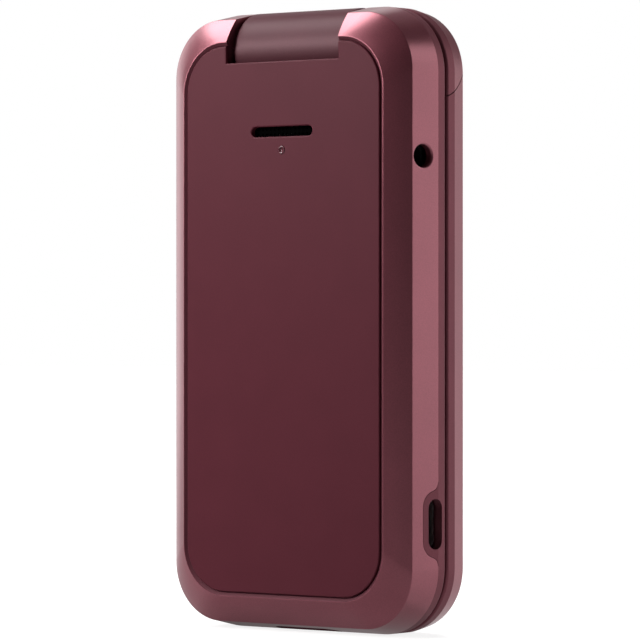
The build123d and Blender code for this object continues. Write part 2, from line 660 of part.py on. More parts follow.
def plain_key(x, z, width, height, radius):
    """Key cap with bevelled edges and a flange behind the frame's face."""
    body = rounded(width, height, radius, x, z)
    top = rounded(width - 2 * KEY_BEVEL, height - 2 * KEY_BEVEL, radius - KEY_BEVEL, x, z)
    flange = rounded(width + 2 * KEY_FLANGE, height + 2 * KEY_FLANGE, radius, x, z)
    cap = slab(body, Y_KEY_REAR, Y_KEY_TOP - KEY_BEVEL)
    cap += taper(body, Y_KEY_TOP - KEY_BEVEL, top, Y_KEY_TOP)
    return cap + slab(flange, Y_KEY_REAR, Y_PLATE_BACK - 0.1)


def select_key():
    """Round key in the middle of the navigation ring."""
    top = Y_KEY_TOP - 0.1
    x_z = (0, NAV_Z)
    cap = disc(SELECT_R, Y_KEY_REAR - 0.3, top - KEY_BEVEL, *x_z)
    rim = Pos(*x_z) * Circle(SELECT_R)
    return cap + taper(rim, top - KEY_BEVEL, Pos(*x_z) * Circle(SELECT_R - KEY_BEVEL), top)


def nav_ring():
    """Four-way navigation ring with a bevelled face and a flange behind the frame's face."""
    y_rear = Y_NAV_REAR
    body = rounded(NAV_SIZE, NAV_SIZE, NAV_ROUND, 0, NAV_Z)
    face_size = NAV_SIZE - 2 * KEY_BEVEL
    face = rounded(face_size, face_size, NAV_ROUND - KEY_BEVEL, 0, NAV_Z)
    ring = slab(body, y_rear, Y_KEY_TOP - KEY_BEVEL) + taper(body, Y_KEY_TOP - KEY_BEVEL, face, Y_KEY_TOP)
    flange = NAV_SIZE + 2 * NAV_CLEARANCE + 2 * KEY_FLANGE
    ring += slab(rounded(flange, flange, NAV_ROUND + KEY_FLANGE, 0, NAV_Z), y_rear, y_rear + NAV_FLANGE_THICK)
    return ring - disc(NAV_HOLE_R, y_rear - 1, Y_SPLIT + 1, 0, NAV_Z)


def nav_pivot():
    """Gimbal ring under the navigation ring, with two pivot arms."""
    y_low = Y_NAV_PIVOT - PIVOT_ARM_R
    ring = disc(PIVOT_RING_R, y_low, y_low + PIVOT_THICK, 0, NAV_Z)
    arms = rod(PIVOT_ARM_R, -PIVOT_ARM, PIVOT_ARM, Y_NAV_PIVOT, NAV_Z)
    return ring + arms - disc(NAV_HOLE_R + 0.1, y_low - 1, 1, 0, NAV_Z)


def key_openings():
    """Openings in the keypad face for every key, and the shallow basin that they lie in."""
    gap = 2 * KEY_CLEARANCE
    cuts = [slab(rounded(w + gap, h + gap, r + KEY_CLEARANCE, x, z), Y_COVER, Y_SPLIT + 1)
            for _, x, z, w, h, r in key_sites()]
    nav = NAV_SIZE + 2 * NAV_CLEARANCE
    cuts.append(slab(rounded(nav, nav, NAV_ROUND + NAV_CLEARANCE, 0, NAV_Z), Y_COVER, Y_SPLIT + 1))
    low = BOTTOM_ROW_Z - ROW_PITCH / 2 - 0.8
    high = MAT_TOP - 0.6
    basin = rounded(2 * MAT_HALF + 1.6, high - low, 4.0, 0, (low + high) / 2)
    cuts.append(slab(basin, Y_SPLIT - BASIN, Y_SPLIT + 1))
    return Part() + cuts


def side_key(length, z):
    """Key in a side island, a stadium bar with a round nose towards the side flex."""
    bar = Pos(SIDE_KEY_Y, z) * Rot(0, 0, 90) * SlotOverall(length, SIDE_KEY_WIDTH)
    x_skin = -SIDE_X + SIDE_DRAFT * (Y_COVER - SIDE_KEY_Y) / (Y_COVER - Y_EDGE)
    key = across(bar, x_skin - SIDE_KEY_PROUD, x_skin + ISLAND_WALL - 0.2)
    return key + disc(SIDE_KEY_NOSE_R, SIDE_KEY_Y - 0.6, SIDE_KEY_Y + 0.6, NOSE_X, z)


def side_key_flex():
    """Strip of flex with the side keys' switches, stuck along the chassis."""
    strip = (-CHASSIS_HALF - SIDE_FLEX_THICK, -CHASSIS_HALF - FIT)
    span = (ALARM_Z - 5, VOLUME_Z + 9)
    return block(strip, (SIDE_KEY_Y - 1.1, SIDE_KEY_Y + 0.5), span)


def key_mat():
    """Silicone sheet under the keys, open round the navigation ring."""
    sheet = rounded(2 * MAT_HALF, MAT_TOP - MAT_LOW, 3, 0, (MAT_TOP + MAT_LOW) / 2)
    mat = slab(sheet, Y_MAT - MAT_THICK, Y_MAT)
    nav = NAV_SIZE + 2 * NAV_CLEARANCE + 4 * KEY_FLANGE
    mat -= slab(rounded(nav, nav, NAV_ROUND, 0, NAV_Z), Y_MAT - 1, Y_MAT + 1)
    return mat - usb_clearance()


def dome_sheet():
    """Sheet of snap domes, one under each key and five under the navigation keys."""
    sheet = rounded(2 * MAT_HALF, MAT_TOP - MAT_LOW, 3, 0, (MAT_TOP + MAT_LOW) / 2)
    sheet = slab(sheet, Y_SHEET - SHEET_THICK, Y_SHEET)
    spots = [(x, z) for _, x, z, *_ in key_sites()]
    reach = NAV_SIZE / 2 - DOME_R - RUN_GAP - 0.3
    spots += [(0, NAV_Z), (reach, NAV_Z), (-reach, NAV_Z), (0, NAV_Z + reach), (0, NAV_Z - reach)]
    for x, z in spots:
        foot = Pos(x, z) * Circle(DOME_R)
        sheet += taper(foot, Y_SHEET - FIT, Pos(x, z) * Circle(DOME_R / 2), Y_DOMES)
    return sheet - usb_clearance()


# ---------------------------------------------------------------- inside the back half


def usb_clearance():
    """Room round the charging socket where it passes the sheets and the board."""
    half = USB_SLOT / 2 + 0.6
    x_low = USB_MOUTH_X - USB_LENGTH - 0.3
    return block((x_low, SIDE_X), (USB_Y - 2.2, USB_Y + 2.2), (USB_Z - half, USB_Z + half))


def jack_room(gap):
    """Room for the headphone socket's body."""
    half = JACK_BODY / 2 + gap
    return block((JACK_END_X - gap, SIDE_X), (JACK_Y - half, JACK_Y + half), (JACK_Z - half, JACK_Z + half))


def main_board():
    """Circuit board behind the keypad, cut away for the two sockets and the screws."""
    board = slab(outline(CHASSIS_INSET, CHASSIS_CORNER), Y_BOARD_REAR, Y_BOARD)
    board -= block((-40, 40), (-9, 9), (CHASSIS_TOP - 0.6, HEIGHT))
    board -= disc(MIC_PORT_R, Y_BOARD_REAR - 1, 0, MIC_X, MIC_PORT_LOW_Z)
    for x, z in SCREW_SPOTS:
        board -= disc(SCREW_R + 0.2, Y_BOARD_REAR - 1, 0, x, z)
    return board - usb_clearance() - jack_room(INNER_GAP)


def bay(shrink=0.0):
    """Outline of the battery bay, or of the battery when brought in."""
    width = 2 * (BAY_HALF - shrink)
    height = BAY_HIGH - BAY_LOW - 2 * shrink
    return rounded(width, height, BAY_ROUND, 0, (BAY_LOW + BAY_HIGH) / 2)


def speaker_shape(grow=0.0):
    """Outline of the loudspeaker box, behind its slot."""
    return rounded(SPEAKER_WIDTH + 2 * grow, SPEAKER_HEIGHT + 2 * grow, 2 + grow, 0, SLOT_Z)


def rear_chassis():
    """Moulded carrier under the back cover: battery bay and seats for what lies round it."""
    tray = slab(outline(CHASSIS_INSET, CHASSIS_CORNER), Y_CHASSIS_REAR, Y_CHASSIS)
    tray -= block((-40, 40), (-9, 9), (CHASSIS_TOP, HEIGHT))
    tray -= slab(bay(), Y_CHASSIS_REAR - 1, Y_CHASSIS - CHASSIS_FLOOR)
    tray -= slab(speaker_shape(INNER_GAP), Y_CHASSIS_REAR - 1, Y_CHASSIS_REAR + 3.4)
    tray -= jack_room(INNER_GAP)
    tray -= disc(MOTOR_R + INNER_GAP, Y_CHASSIS_REAR - 1, Y_CHASSIS_REAR + 3.2, *MOTOR_SPOT)
    tray -= slab(card_outline(INNER_GAP), Y_CHASSIS_REAR - 1, Y_CHASSIS + 1)
    mic = MIC_SIZE + 2 * INNER_GAP
    tray -= slab(rounded(mic, mic, 0.6, MIC_X, MIC_Z), Y_CHASSIS - 1, Y_CHASSIS + 1)
    tray -= usb_clearance()
    for x in contact_columns():
        tray -= block((x - 0.9, x + 0.9), contact_depth(0.15), (BAY_HIGH - 1, BAY_HIGH + 2.15))
    for x, z in SCREW_SPOTS:
        tray -= disc(SCREW_R + 0.15, Y_CHASSIS_REAR - 1, Y_CHASSIS + 1, x, z)
        tray -= disc(SCREW_HEAD_R + 0.1, Y_CHASSIS_REAR - 1, Y_CHASSIS_REAR + SCREW_HEAD, x, z)
    return tray


def chassis_screws():
    """Six small screws that hold the chassis and the board to the keypad frame."""
    y_head = Y_CHASSIS_REAR
    screws = []
    for x, z in SCREW_SPOTS:
        head = disc(SCREW_HEAD_R, y_head, y_head + SCREW_HEAD, x, z)
        cross = block((x - 0.7, x + 0.7), (y_head - 1, y_head + 0.35), (z - 0.15, z + 0.15))
        cross += block((x - 0.15, x + 0.15), (y_head - 1, y_head + 0.35), (z - 0.7, z + 0.7))
        screws.append(head - cross + disc(SCREW_R, y_head + 0.5, Y_PLATE_BACK - 0.3, x, z))
    return Compound(children=screws)


def antenna():
    """Foil antenna on the chassis beside the loudspeaker."""
    y_low = Y_CHASSIS_REAR - 0.15
    x = CHASSIS_HALF - ANTENNA_SIDE
    z = CHASSIS_TOP - 3.2
    foil = slab(rounded(9.0, 2.6, 0.4, x, z), y_low, Y_CHASSIS_REAR)
    foil -= slab(rounded(6.0, 0.5, 0.2, x + 1.1, z), y_low - 1, 0)
    return foil + slab(rounded(1.4, 4.2, 0.3, x - 3.8, z - 0.8), y_low, Y_CHASSIS_REAR)


def battery():
    """Removable battery pack with a finger recess and three contact pads."""
    y_low = Y_COVER_FLOOR + INNER_GAP
    pack = slab(bay(INNER_GAP), y_low, Y_CHASSIS - CHASSIS_FLOOR - FIT)
    recess = rounded(12, 2.4, 1.1, 0, BAY_LOW + INNER_GAP)
    pack -= slab(recess, y_low - 1, y_low + 1.5)
    y_pads, y_end = contact_depth(-0.2)
    for x in contact_columns():
        pack -= block((x - 1, x + 1), (y_pads, y_end), (BAY_HIGH - INNER_GAP - 0.3, BAY_HIGH))
    return pack


def contact_columns():
    """Places across the battery's top edge for its three contacts."""
    return [-5.0, 0.0, 5.0]


def contact_depth(grow):
    """Depth range of the battery contacts."""
    return (Y_CHASSIS - 2.6 - grow, Y_CHASSIS - 0.9 + grow)


def battery_contacts():
    """Three sprung contact blades in the top of the battery bay."""
    blades = []
    for x in contact_columns():
        foot = block((x - 0.75, x + 0.75), contact_depth(0), (BAY_HIGH + 0.3, BAY_HIGH + 2))
        nose = Pos(x, 0, 0) * across(Pos(Y_CHASSIS - 1.75, BAY_HIGH + 0.4) * Circle(0.65), -0.5, 0.5)
        blades.append(foot + nose)
    return Compound(children=blades)


def card_outline(grow=0.0):
    """Outline of the card area below the battery."""
    width = sum(card_widths()) + 2 * CARD_GAP + 2 * CARD_MARGIN
    middle = CARD_SIDE - CHASSIS_HALF + width / 2
    return rounded(width + 2 * grow, CARD_CAGE + 2 * CARD_MARGIN + 2 * grow, 1.0, middle, CARD_Z)


def card_widths():
    """Widths of the card cages from left to right, two SIM cages and a memory card cage."""
    return [SIM_WIDTH, SIM_WIDTH, MEMORY_WIDTH]


def card_column(index):
    """Middle of one of the card cages."""
    widths = card_widths()
    return CARD_SIDE - CHASSIS_HALF + CARD_MARGIN + sum(widths[:index]) + index * CARD_GAP + widths[index] / 2


def sim_holders():
    """Two stamped card cages side by side on the board."""
    return Compound(children=[card_cage(card_column(index), SIM_WIDTH) for index in (0, 1)])


def memory_card_holder():
    """Stamped cage for a memory card."""
    return card_cage(card_column(2), MEMORY_WIDTH)


def card_cage(x, width):
    """Shallow card cage with a slot for the card and a window in its top."""
    y_high = Y_BOARD_REAR - FIT
    y_low = y_high - 1.4
    cage = slab(rounded(width, CARD_CAGE, 0.5, x, CARD_Z), y_low, y_high)
    slot = (CARD_Z - CARD_CAGE / 2 + 1.5, CARD_Z + CARD_CAGE)
    cage -= block((x - width / 2 + 0.4, x + width / 2 - 0.4), (y_low + 0.2, y_high - 0.3), slot)
    return cage - slab(rounded(width - 4, CARD_CAGE - 6, 0.8, x, CARD_Z - 0.5), y_low - 1, y_low + 0.5)


def loudspeaker():
    """Boxed loudspeaker with an oval sound port towards the slot."""
    y_low = Y_COVER_FLOOR + 0.15
    box = slab(speaker_shape(), y_low + 0.4, Y_CHASSIS_REAR + 3.2)
    collar = slab(rounded(16, 4.4, 2.1, 0, SLOT_Z), y_low, y_low + 0.6)
    return box + collar - slab(stadium(13.6, 2.2, 0, SLOT_Z), y_low - 1, y_low + 1)


def vibration_motor():
    """Coin-shaped vibration motor."""
    y_low = Y_CHASSIS_REAR + 0.2
    can = disc(MOTOR_R, y_low, y_low + 2.7, *MOTOR_SPOT)
    return can - disc(1.0, y_low - 1, y_low + 0.25, *MOTOR_SPOT)


def usb_socket():
    """Charging socket: a rounded steel shell with its contact tongue."""
    x_high = USB_MOUTH_X
    x_low = x_high - USB_LENGTH
    frame = Pos(USB_Y, USB_Z) * Rot(0, 0, 90)
    outer = SlotOverall(USB_SLOT - 2 * FIT, USB_SLOT_HEIGHT - 2 * FIT)
    inner = SlotOverall(USB_SLOT - 2 * USB_SHELL_WALL, USB_SLOT_HEIGHT - 2 * USB_SHELL_WALL)
    shell = across(frame * outer, x_low, x_high) - across(frame * inner, x_low + 1, x_high + 1)
    return shell + across(frame * RectangleRounded(6.4, USB_TONGUE, 0.2), x_low + 0.5, x_high - 0.7)


def audio_socket():
    """Headphone socket with its bore and a collar towards the cover."""
    x_high = SIDE_X - JACK_SIDE
    box = jack_room(0) & block((0, x_high), (-9, 9), (0, HEIGHT))
    collar = rod(JACK_R + 0.35, x_high - 1, x_high + 0.2, JACK_Y, JACK_Z)
    return box + collar - rod(JACK_R, x_high - JACK_LENGTH + 1, x_high + 1, JACK_Y, JACK_Z)


def microphone():
    """Microphone can at the foot of the board, its port towards the keypad's face."""
    y_high = Y_BOARD_REAR - FIT
    can = slab(rounded(MIC_SIZE, MIC_SIZE, 0.4, MIC_X, MIC_Z), y_high - 1.0, y_high)
    return can - disc(0.3, y_high - 0.3, y_high + 1, MIC_X, MIC_PORT_LOW_Z)


def base_flex():
    """Flex from the board up the left knuckle and through the hinge bush."""
    x_low = -NOTCH_HALF - BUSH_IN_BASE - 2.8
    half = BUSH_R - BUSH_WALL - 0.5
    rise = block((x_low, x_low + 2), (Y_COVER - 0.3, Y_COVER - 0.12), (CHASSIS_TOP - 4, HINGE_Z + half))
    foot = block((x_low, x_low + 2), (Y_BOARD + FIT, Y_COVER - 0.12), (CHASSIS_TOP - 4, CHASSIS_TOP - 3))
    run = block((x_low, -NOTCH_HALF + BUSH_IN_BARREL - 0.3), (HINGE_Y - 0.2, HINGE_Y),
                (HINGE_Z - half, HINGE_Z + half))
    return rise + foot + run


# ---------------------------------------------------------------- lid


def swing_cut():
    """What the lid gives up to swing: round the knuckles, and above its front where it meets the barrel."""
    far = 25.0
    turn = radians(SHOULDER_ANGLE)
    tip = (HINGE_Y + far * cos(turn), HINGE_Z + far * sin(turn))
    corner = (HINGE_Y, HINGE_Z)
    wedge = make_face(Polyline(corner, tip, (HINGE_Y, HINGE_Z + far), (HINGE_Y - far, HINGE_Z), close=True))
    shoulder = rod(LID_ARC_R, BARREL_HALF, SIDE_X + 1) + across(wedge, BARREL_HALF, SIDE_X + 1)
    lean = radians(SCALLOP_ANGLE)
    normal = (cos(lean), sin(lean))
    along = (sin(lean), -cos(lean))
    corners = []
    for s, n in ((-far, BARREL_R), (far, BARREL_R), (far, far), (-far, far)):
        y = HINGE_Y + s * along[0] + n * normal[0]
        corners.append((y, HINGE_Z + s * along[1] + n * normal[1]))
    scallop = make_face(Polyline(*corners, close=True))
    edge = (HINGE_Y + far * normal[0], HINGE_Z + far * normal[1])
    over = make_face(Polyline(corner, edge, (HINGE_Y, HINGE_Z + far), (HINGE_Y - far, HINGE_Z), close=True))
    return both_sides(shoulder) + across(scallop + over, -BARREL_HALF, BARREL_HALF)


def barrel():
    """Hinge barrel with softened ends."""
    bar = rod(BARREL_R, -BARREL_HALF, BARREL_HALF)
    return fillet(bar.edges().filter_by(GeomType.CIRCLE), BARREL_END_ROUND)


def flex_channel():
    """Way for the lid's flex, out of the barrel and down behind the display."""
    x = (-NOTCH_HALF + BUSH_IN_BARREL, -NOTCH_HALF + BUSH_IN_BARREL + 4)
    turn = block(x, (HINGE_Y - 0.6, Y_LID_COVER + 1), (HINGE_Z - 1.9, HINGE_Z + 1.9))
    return turn + block(x, (Y_WINDOW_BACK, Y_LID_COVER + 1), (DISPLAY_HIGH, HINGE_Z))


def lid_frame():
    """Lid's inner shell with the screen opening, carrying the hinge barrel."""
    shell = lid_band() - swing_cut() + barrel()
    width = 2 * (WINDOW_HALF + 0.1)
    height = WINDOW_HIGH - WINDOW_LOW + 0.2
    shell -= slab(rounded(width, height, WINDOW_ROUND, 0, (WINDOW_HIGH + WINDOW_LOW) / 2), 0, Y_WINDOW_BACK)
    shell -= slab(display_shape(0.15), 0, Y_LID_COVER + 1)
    shell -= rod(CAN_R + FIT, BARREL_HALF - CAN_LENGTH - FIT, BARREL_HALF + 1)
    key = (HINGE_Z, HINGE_Z + CAN_R + 0.5 + FIT)
    shell -= block((BARREL_HALF - CAN_LENGTH - FIT, BARREL_HALF + 1), (HINGE_Y - 0.55, HINGE_Y + 0.55), key)
    shell -= rod(BUSH_R + TUBE_CLEARANCE, -BARREL_HALF - 1, -NOTCH_HALF + BUSH_IN_BARREL + FIT)
    shell -= flex_channel()
    shell -= slab(stadium(EARPIECE_SLOT, 1.3, 0, EARPIECE_Z), 0, Y_LID_COVER + 1)
    for x, z in PAD_SPOTS:
        shell -= disc(PAD_R + FIT, 0, Y_LID + 0.6, x, z)
        shell -= disc(SCREW_HEAD_R + 0.1, 0, Y_LID + 0.6 + SCREW_HEAD, x, z)
        shell -= disc(SCREW_R + 0.15, 0, Y_LID_COVER + 1, x, z)
    return shell


def display_shape(grow=0.0):
    """Outline of the inner display module."""
    height = DISPLAY_HIGH - DISPLAY_LOW
    return rounded(2 * (DISPLAY_HALF + grow), height + 2 * grow, 1.0, 0, (DISPLAY_HIGH + DISPLAY_LOW) / 2)


def lid_cover():
    """Lid's outer shell: drafted wall, front chamfer and recess for the front window."""
    cavity_height = LID_CAVITY_TOP - WALL
    inner = rounded(WIDTH - 2 * WALL - 2 * FRONT_DRAFT, cavity_height, 9.0, 0, WALL + cavity_height / 2)
    room = slab(inner & outline(WALL + FRONT_DRAFT, CORNER - WALL), Y_LID_COVER, Y_SHOULDER)
    low = WALL + RIM / 2
    deep = rounded(WIDTH - 2 * low, LID_CAVITY_TOP - low, 6.5, 0, (LID_CAVITY_TOP + low) / 2)
    room += slab(deep, Y_LID_COVER, Y_LID_FLOOR)
    shell = lid_cover_envelope() - room
    for x, z in PAD_SPOTS:
        shell += disc(BOSS_R + 0.4, Y_LID_COVER, Y_SHOULDER, x, z)
        shell -= disc(SCREW_R + FIT, Y_LID_COVER - 1, Y_LID_COVER + 2.6, x, z)
    shell -= swing_cut()
    shell -= rod(BARREL_R + SEAT_GAP, -BARREL_HALF, BARREL_HALF)
    shell -= flex_channel()
    shell -= panel_recess(FRONT_WINDOW_TOP, Y_FRONT - PANEL_THICK, Y_FRONT)
    shell -= slab(outer_display_shape(0.2), Y_LID_COVER, Y_FRONT)
    body = CAMERA_BODY + 0.3
    shell -= slab(rounded(body, body, 0.8, CAMERA_X, CAMERA_Z), Y_LID_COVER, Y_FRONT)
    return shell - disc(FLASH_R + 0.5, Y_LID_COVER, Y_FRONT, FLASH_X, CAMERA_Z)


def outer_display_shape(grow=0.0):
    """Outline of the small display in the lid's front."""
    width = OUTER_DISPLAY_WIDTH + 2 * grow
    return rounded(width, OUTER_DISPLAY_HEIGHT + 2 * grow, 0.8, 0, OUTER_DISPLAY_Z)


def outer_window():
    """Tinted front window with holes for the camera ring and the flash."""
    holes = Pos(CAMERA_X, CAMERA_Z) * Circle(CAMERA_RING_R + FIT)
    holes += Pos(FLASH_X, CAMERA_Z) * Circle(FLASH_R + FIT)
    return panel(FRONT_WINDOW_TOP, Y_FRONT - PANEL_THICK, Y_FRONT, holes)


def outer_display():
    """Small display module behind the front window."""
    y_high = Y_FRONT - PANEL_THICK - 0.1
    return slab(outer_display_shape(), y_high - DISPLAY_THICK, y_high)


def inner_window():
    """Clear window over the main screen."""
    middle = (WINDOW_HIGH + WINDOW_LOW) / 2
    sheet = rounded(2 * WINDOW_HALF, WINDOW_HIGH - WINDOW_LOW, WINDOW_ROUND - 0.1, 0, middle)
    return slab(sheet, Y_WINDOW, Y_WINDOW_BACK)


def inner_display():
    """Main display module, glass in front of a metal tray."""
    glass = display_shape(-0.4)
    tray = slab(display_shape(), Y_DISPLAY + 0.5, Y_DISPLAY + DISPLAY_THICK)
    return tray + slab(glass, Y_DISPLAY, Y_DISPLAY + 0.5)


def camera_module():
    """Camera with its square body, round ring and recessed lens."""
    y_ring = Y_FRONT - 0.05
    y_body = Y_FRONT - PANEL_THICK - 0.1
    body = slab(rounded(CAMERA_BODY, CAMERA_BODY, 0.6, CAMERA_X, CAMERA_Z), y_body - 2.5, y_body)
    ring = disc(CAMERA_RING_R, y_body - 0.2, y_ring, CAMERA_X, CAMERA_Z)
    cone_top = Pos(CAMERA_X, CAMERA_Z) * Circle(CAMERA_RING_R - 0.6)
    cone = taper(cone_top, y_ring, Pos(CAMERA_X, CAMERA_Z) * Circle(1.3), y_ring - 0.7)
    return body + ring - cone


def flash_led():
    """Flash lamp with a shallow lens on a square base."""
    y_top = Y_FRONT - 0.1
    base = slab(rounded(2.6, 2.6, 0.3, FLASH_X, CAMERA_Z), y_top - 2.2, y_top - 0.95)
    lens = disc(FLASH_R, y_top - 1.0, y_top - 0.2, FLASH_X, CAMERA_Z)
    dome_foot = Pos(FLASH_X, CAMERA_Z) * Circle(FLASH_R)
    return base + lens + taper(dome_foot, y_top - 0.2, Pos(FLASH_X, CAMERA_Z) * Circle(FLASH_R * 0.6), y_top)


def earpiece():
    """Earpiece behind its slot at the lid's free end."""
    y_low = Y_LID_COVER + FIT
    box = slab(rounded(12, 5, 1.5, 0, EARPIECE_Z), y_low, y_low + 2.2)
    return box - slab(stadium(9, 1.3, 0, EARPIECE_Z), y_low - 1, y_low + 0.4)


def lid_magnet():
    """Small magnet that tells the phone when its lid is shut."""
    y_low = Y_LID_COVER + FIT
    return slab(rounded(5, 2.6, 0.3, 12.5, 8.0), y_low, y_low + 1.5)


def lid_board():
    """Lid's circuit board between the two displays."""
    y_low = Y_DISPLAY + DISPLAY_THICK + 0.15
    height = LID_BOARD_TOP - LID_BOARD_LOW
    sheet = rounded(2 * (SIDE_X - LID_BOARD_SIDE), height, 1.5, 0, LID_BOARD_LOW + height / 2)
    board = slab(sheet, y_low, y_low + BOARD_THICK)
    span = (LID_BOARD_LOW + 3, LID_BOARD_LOW + 6)
    connector = block((-8, 8), (y_low + BOARD_THICK, y_low + BOARD_THICK + 0.9), span)
    return board + connector


def lid_bumpers():
    """Four rubber pads that the closed lid rests on."""
    pads = [disc(PAD_R, Y_LID - PAD_PROUD, Y_LID + 0.6, x, z) for x, z in PAD_SPOTS]
    return Compound(children=pads)


def lid_screws():
    """Four screws under the pads that hold the lid's shells together."""
    y_head = Y_LID + 0.6 + FIT
    screws = []
    for x, z in PAD_SPOTS:
        head = disc(SCREW_HEAD_R, y_head, y_head + SCREW_HEAD - FIT, x, z)
        screws.append(head + disc(SCREW_R, y_head + 0.3, Y_LID_COVER + 2.4, x, z))
    return Compound(children=screws)


def lid_flex():
    """Flex from the barrel down to the front of the lid's board."""
    x = (-NOTCH_HALF + BUSH_IN_BARREL + 0.3, -NOTCH_HALF + BUSH_IN_BARREL + 3.7)
    y_drop = Y_LID_COVER - 0.6
    y_board = Y_DISPLAY + DISPLAY_THICK + 0.15 + BOARD_THICK + FIT
    z_turn = LID_BOARD_TOP + 0.6
    run = block(x, (HINGE_Y - 0.2, y_drop), (HINGE_Z - 0.1, HINGE_Z + 0.1))
    drop = block(x, (y_drop - 0.2, y_drop), (z_turn, HINGE_Z + 0.1))
    shelf = block(x, (y_drop - 0.2, y_board + 0.15), (z_turn, z_turn + 0.2))
    return run + drop + shelf + block(x, (y_board, y_board + 0.15), (LID_BOARD_TOP - 3, z_turn + 0.2))


# ---------------------------------------------------------------- write every sub-part


def all_parts():
    """Every sub-part by its node's name."""
    parts = {
        "back_cover": back_cover(), "rear_panel": rear_panel(), "speaker_mesh": speaker_mesh(),
        "keypad_frame": keypad_frame(), "hinge_caps": hinge_caps(),
        "hinge_shaft": shaft(), "hinge_can": hinge_can(), "hinge_bush": hinge_bush(),
        "select_key": select_key(), "nav_ring": nav_ring(), "nav_pivot": nav_pivot(),
        "volume_key": side_key(VOLUME_LENGTH, VOLUME_Z),
        "emergency_key": side_key(ALARM_LENGTH, ALARM_Z),
        "side_key_flex": side_key_flex(), "key_mat": key_mat(), "dome_sheet": dome_sheet(),
        "main_board": main_board(), "rear_chassis": rear_chassis(), "chassis_screws": chassis_screws(),
        "antenna": antenna(), "battery": battery(), "battery_contacts": battery_contacts(),
        "sim_holders": sim_holders(),
        "memory_card_holder": memory_card_holder(), "loudspeaker": loudspeaker(),
        "vibration_motor": vibration_motor(), "usb_socket": usb_socket(), "audio_socket": audio_socket(),
        "microphone": microphone(), "base_flex": base_flex(), "lid_frame": lid_frame(),
        "lid_cover": lid_cover(), "outer_window": outer_window(), "outer_display": outer_display(),
        "inner_window": inner_window(), "inner_display": inner_display(),
        "camera_module": camera_module(), "flash_led": flash_led(), "earpiece": earpiece(),
        "lid_magnet": lid_magnet(), "lid_board": lid_board(), "lid_bumpers": lid_bumpers(),
        "lid_screws": lid_screws(), "lid_flex": lid_flex(),
    }
    for name, *site in key_sites():
        parts[name] = plain_key(*site)
    return parts


os.makedirs("parts", exist_ok=True)
for node, shape in all_parts().items():
    export_step(shape, f"parts/{node}.step")
    print(node, round(shape.volume, 2))
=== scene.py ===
"""Finish, light and fine detail for the folding phone.

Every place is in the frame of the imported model: X across the phone, Y through its thickness
with the back panel at the low end, Z up towards the hinge. Sizes of the phone are written in
millimetres and multiplied by MM. Lamps, floor and camera are placed in metres.
"""

import json
import math

import bpy
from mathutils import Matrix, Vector


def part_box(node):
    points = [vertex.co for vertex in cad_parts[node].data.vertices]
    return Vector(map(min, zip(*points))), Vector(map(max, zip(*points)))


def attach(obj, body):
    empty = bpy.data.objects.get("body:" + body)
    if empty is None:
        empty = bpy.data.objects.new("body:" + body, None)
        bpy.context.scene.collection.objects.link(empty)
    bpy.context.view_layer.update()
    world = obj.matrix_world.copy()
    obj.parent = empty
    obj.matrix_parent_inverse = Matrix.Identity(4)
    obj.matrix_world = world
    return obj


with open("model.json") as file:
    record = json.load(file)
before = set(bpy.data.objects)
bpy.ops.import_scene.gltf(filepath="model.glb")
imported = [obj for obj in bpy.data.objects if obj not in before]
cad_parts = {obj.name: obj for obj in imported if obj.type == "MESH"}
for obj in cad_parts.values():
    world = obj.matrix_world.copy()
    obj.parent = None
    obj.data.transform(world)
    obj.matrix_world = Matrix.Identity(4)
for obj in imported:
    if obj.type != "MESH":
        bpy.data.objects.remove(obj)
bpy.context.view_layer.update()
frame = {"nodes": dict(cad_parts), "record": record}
cad = frame["nodes"]
bpy.ops.object.select_all(action="DESELECT")

MM = 0.001

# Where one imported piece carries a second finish
BARREL_HALF = 12.4 * MM
BARREL_LOW = 93.0 * MM
BARREL_FRONT = 3.7 * MM
LIP_WIDTH = 0.8 * MM
LIP_DEPTH = -6.0 * MM
LIP_SLOPE = 0.05

# Fine pieces
SMOOTH_ANGLE = math.radians(35)
RING_MAJOR = 0.55 * MM
RING_MINOR = 0.19 * MM
RING_FLATTENING = 0.8
RING_SUNK = 0.03 * MM
RING_CUT = 0.12 * MM
RING_Z = 83.5 * MM
LENS_R = 1.2 * MM
LENS_DEPTH = 0.2 * MM
LENS_SUNK = 0.75 * MM
LENS_STEPS = [(0.04, 0.04), (0.3, 0.11), (0.35, 0.06), (0.3, 0.02)]  # inset and rise, in mm
TONGUE = 0.7 * MM
CONTACTS = 12
CONTACT_PITCH = 0.5 * MM
CONTACT_SIZE = (1.8 * MM, 0.06 * MM, 0.27 * MM)
CONTACT_ROUND = 0.02 * MM
CONTACT_SET_BACK = 2.0 * MM
DIGIT_SIZE = 5.0 * MM
DIGIT_PROUD = 0.02 * MM
STROKE_THICK = 0.32 * MM
STROKE_FLATTENING = 0.1
HANDSET = {"half": 1.9 * MM, "rise": 1.2 * MM, "ends": 1.7, "middle": 0.9}
DASH = {"half": 1.5 * MM, "rise": 0, "ends": 0.8, "middle": 0.8}
LIFTED = math.radians(-45)

# Floor, light and camera
FLOOR_SIZE = 6.0
FLOOR_GREY = 0.25
FLOOR_GLOW_REACH = (0.05, 0.35)  # metres from the phone
FLOOR_GLOW = (0.85, 1.0)
FLOOR_GLOSS_REACH = (-0.01, 0.02)
FLOOR_GLOSS = (0.15, 0.6)
ROOM_LEVEL = 0.05
ROOM_GLOSS_REACH = (0.3, 0.9)
ROOM_GLOSS = (0.0, 0.12)
BEHIND = (-0.624, 0.781, 0)  # from the phone away from the camera
BESIDE = (0.3, 0.954, 0)  # from the phone over the floor that its right side and lid reflect
MIDDLE = (0, 0, 0.054)
CAMERA_LENS = 232.8
CAMERA_SENSOR = 36.0
CAMERA_CLIP = 0.01
CAMERA_PLACE = (0.45105, -0.5648, 0.05409)
CAMERA_TURN = 38.55

